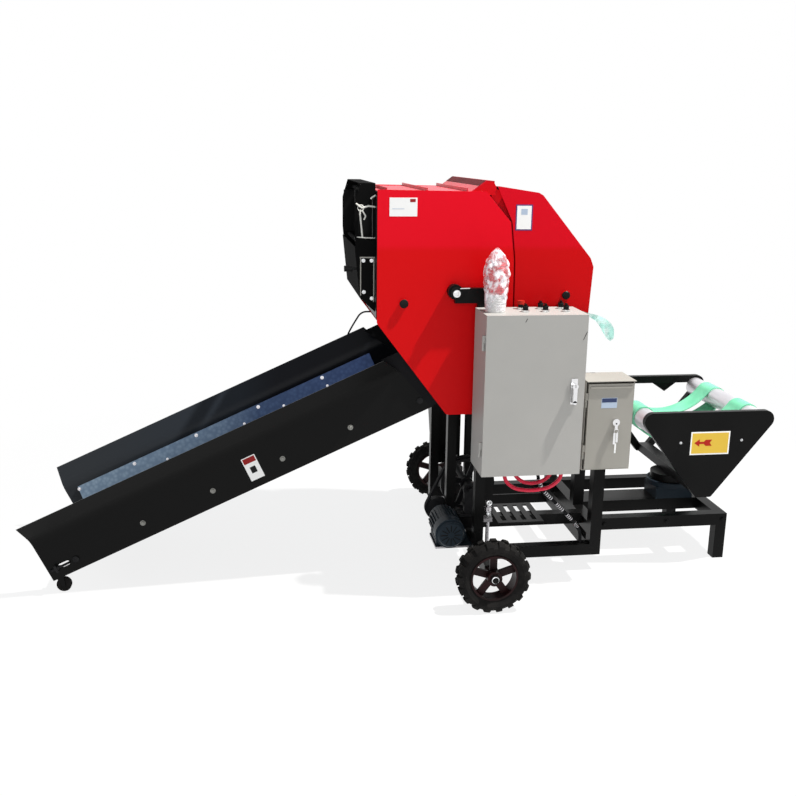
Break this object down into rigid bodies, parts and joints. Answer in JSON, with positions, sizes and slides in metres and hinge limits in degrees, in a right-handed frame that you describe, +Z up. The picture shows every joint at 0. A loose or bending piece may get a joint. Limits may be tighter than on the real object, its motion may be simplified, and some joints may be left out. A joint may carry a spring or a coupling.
{
  "type": "stationary round baler",
  "caption": "Stationary silage round baler: chamber with opening tailgate, feed conveyor on casters, electrical cabinets and a turning bale-wrapping table on two wheels and two legs.",
  "frame": {"origin": "middle of the footprint, on the ground under the wheels", "axes": "+X along the machine from the conveyor to the wrapping table, +Y across it away from the cabinets, +Z up"},
  "size_m": [3.1958, 1.442, 1.684],
  "materials": {
    "red_paint": "glossy sprayed enamel",
    "black_paint": "semi-gloss sprayed enamel",
    "grey_paint": "fine textured powder coat",
    "steel": "mill finish",
    "galvanised": "galvanised sheet",
    "motor_paint": "dark blue enamel",
    "cast": "as cast, painted",
    "tyre": "black rubber",
    "rim_paint": "black enamel",
    "belt_rubber": "smooth rubber",
    "green_belt": "matt mint green",
    "lens": "ribbed red lens",
    "hose_red": "smooth hose cover",
    "plastic": "moulded"
  },
  "bodies": {
    "chassis": {"axle_beam": "black_paint", "base_frame": "black_paint", "upper_rails": "black_paint", "rear_stand": "black_paint", "body_posts": "black_paint", "side_cover_near": "red_paint", "side_cover_far": "red_paint", "chamber_wall_near": "black_paint", "chamber_wall_far": "black_paint", "tailgate_hinge_rod": "red_paint", "roof_panel": "red_paint", "front_wall": "black_paint", "front_rollers": "steel", "chain_guard": "black_paint", "hanging_cable": "belt_rubber", "twine_frame": "black_paint", "twine_handle": "plastic", "outrigger_arm": "black_paint", "control_cabinet": "grey_paint", "cabinet_switches": "plastic", "beacon": "lens", "small_cabinet": "grey_paint", "cabinet_leg": "black_paint", "levelling_screw": "steel", "cabinet_hoses": "hose_red", "spring_hose": "belt_rubber", "drive_motor": "motor_paint", "motor_pulley": "cast", "countershaft": "cast", "shaft_bearings": "cast", "drive_belt": "belt_rubber", "wrapping_base": "black_paint", "turntable_drive": "motor_paint"},
    "wheel_near": {"tyre_near": "tyre", "rim_near": "rim_paint"},
    "wheel_far": {"tyre_far": "tyre", "rim_far": "rim_paint"},
    "tailgate": {"tailgate_covers": "red_paint", "tailgate_walls": "red_paint", "tailgate_sheet": "red_paint", "rear_rollers": "steel"},
    "cabinet_door": {"cabinet_door": "grey_paint"},
    "small_cabinet_door": {"small_cabinet_door": "grey_paint"},
    "conveyor": {"conveyor_sides": "black_paint", "conveyor_bed": "black_paint", "conveyor_belt": "belt_rubber", "conveyor_drums": "steel", "conveyor_skirts": "galvanised", "conveyor_motor": "motor_paint", "caster_brackets": "black_paint"},
    "caster_fork_near": {"caster_fork_near": "black_paint"},
    "caster_fork_far": {"caster_fork_far": "black_paint"},
    "caster_wheel_near": {"caster_wheel_near": "tyre"},
    "caster_wheel_far": {"caster_wheel_far": "tyre"},
    "wrapping_table": {"table_cover": "black_paint", "table_frame": "black_paint", "table_rollers": "steel", "table_belts": "green_belt"}
  },
  "joints": [
    {"name": "wheel_near_spin", "type": "hinge", "parent": "chassis", "child": "wheel_near", "pos_m": [0.28258, -0.672, 0.15], "axis": [0, 1, 0], "continuous": true},
    {"name": "wheel_far_spin", "type": "hinge", "parent": "chassis", "child": "wheel_far", "pos_m": [0.28258, 0.672, 0.15], "axis": [0, 1, 0], "continuous": true},
    {"name": "tailgate_lift", "type": "hinge", "parent": "chassis", "child": "tailgate", "pos_m": [0.32058, 0, 1.636], "axis": [0, -1, 0], "range_deg": [0, 50]},
    {"name": "cabinet_door_swing", "type": "hinge", "parent": "chassis", "child": "cabinet_door", "pos_m": [0.23558, -0.562, 0.86], "axis": [0, 0, -1], "range_deg": [0, 110]},
    {"name": "small_door_swing", "type": "hinge", "parent": "chassis", "child": "small_cabinet_door", "pos_m": [0.68358, -0.505, 0.712], "axis": [0, 0, -1], "range_deg": [0, 95]},
    {"name": "conveyor_lift", "type": "hinge", "parent": "chassis", "child": "conveyor", "pos_m": [0.02958, 0, 0.792], "axis": [0, 1, 0], "range_deg": [0, 15]},
    {"name": "table_turn", "type": "hinge", "parent": "chassis", "child": "wrapping_table", "pos_m": [1.30158, 0, 0.296], "axis": [0, 0, 1], "continuous": true},
    {"name": "caster_near_swivel", "type": "hinge", "parent": "conveyor", "child": "caster_fork_near", "pos_m": [-1.46629, -0.295, 0.07], "axis": [0, 0, 1], "continuous": true},
    {"name": "caster_near_spin", "type": "hinge", "parent": "caster_fork_near", "child": "caster_wheel_near", "pos_m": [-1.45029, -0.295, 0.03], "axis": [0, 1, 0], "continuous": true},
    {"name": "caster_far_swivel", "type": "hinge", "parent": "conveyor", "child": "caster_fork_far", "pos_m": [-1.46629, 0.295, 0.07], "axis": [0, 0, 1], "continuous": true},
    {"name": "caster_far_spin", "type": "hinge", "parent": "caster_fork_far", "child": "caster_wheel_far", "pos_m": [-1.45029, 0.295, 0.03], "axis": [0, 1, 0], "continuous": true}
  ]
}
